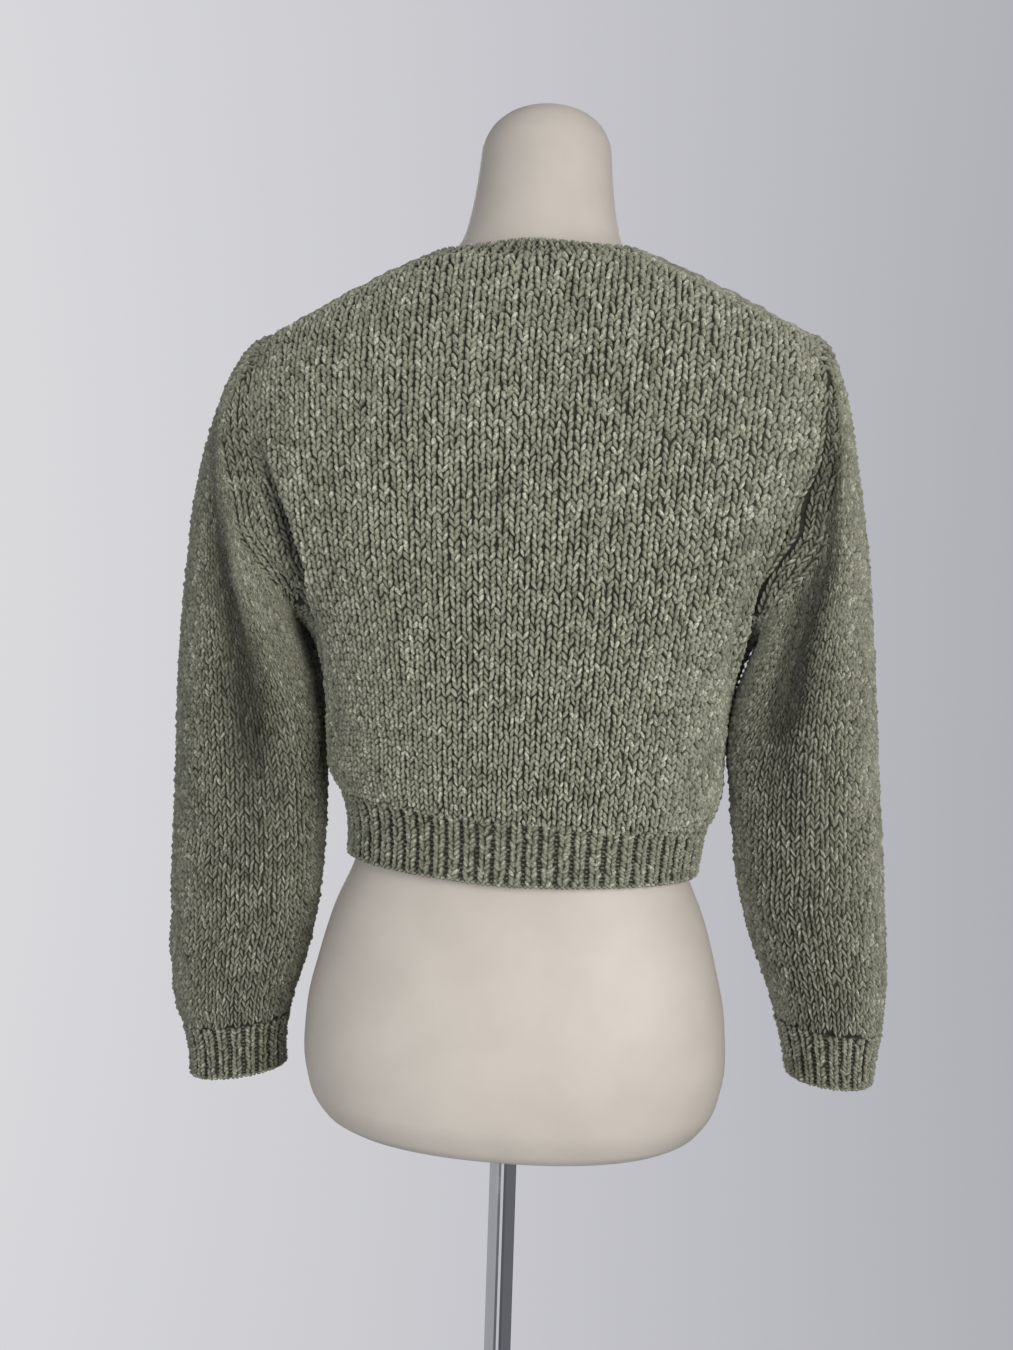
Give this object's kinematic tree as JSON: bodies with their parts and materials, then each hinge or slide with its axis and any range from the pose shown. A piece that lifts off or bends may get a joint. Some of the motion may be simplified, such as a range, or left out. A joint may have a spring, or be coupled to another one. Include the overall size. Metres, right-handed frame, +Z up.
{
  "type": "cropped cardigan on dress form",
  "caption": "Cropped chunky-knit cardigan with long sleeves and ribbed hem, cuffs and neckband, buttoned on a limbless dress form on a pole with a round base.",
  "frame": {"origin": "centre of the base's underside, on the floor", "axes": "+Z up along the pole; -Y towards the wearer's front, where the cardigan buttons; +X towards the wearer's left"},
  "size_m": [0.5418, 0.3, 1.089],
  "materials": {
    "knit": "sage green marled chunky chenille knit",
    "rib": "sage green marled chunky chenille, ribbed",
    "button": "satin grey-green",
    "form": "matte warm off-white",
    "chrome": "polished"
  },
  "bodies": {
    "root": {"back_panel": "knit", "base": "chrome", "button_1": "button", "button_2": "button", "button_3": "button", "button_4": "button", "button_5": "button", "button_band": "rib", "buttonhole_band": "rib", "cuff_left": "rib", "cuff_right": "rib", "form_torso": "form", "front_left": "knit", "front_right": "knit", "hem_back": "rib", "hem_front_left": "rib", "hem_front_right": "rib", "neckband": "rib", "pole": "chrome", "sleeve_left": "knit", "sleeve_right": "knit"}
  },
  "joints": []
}
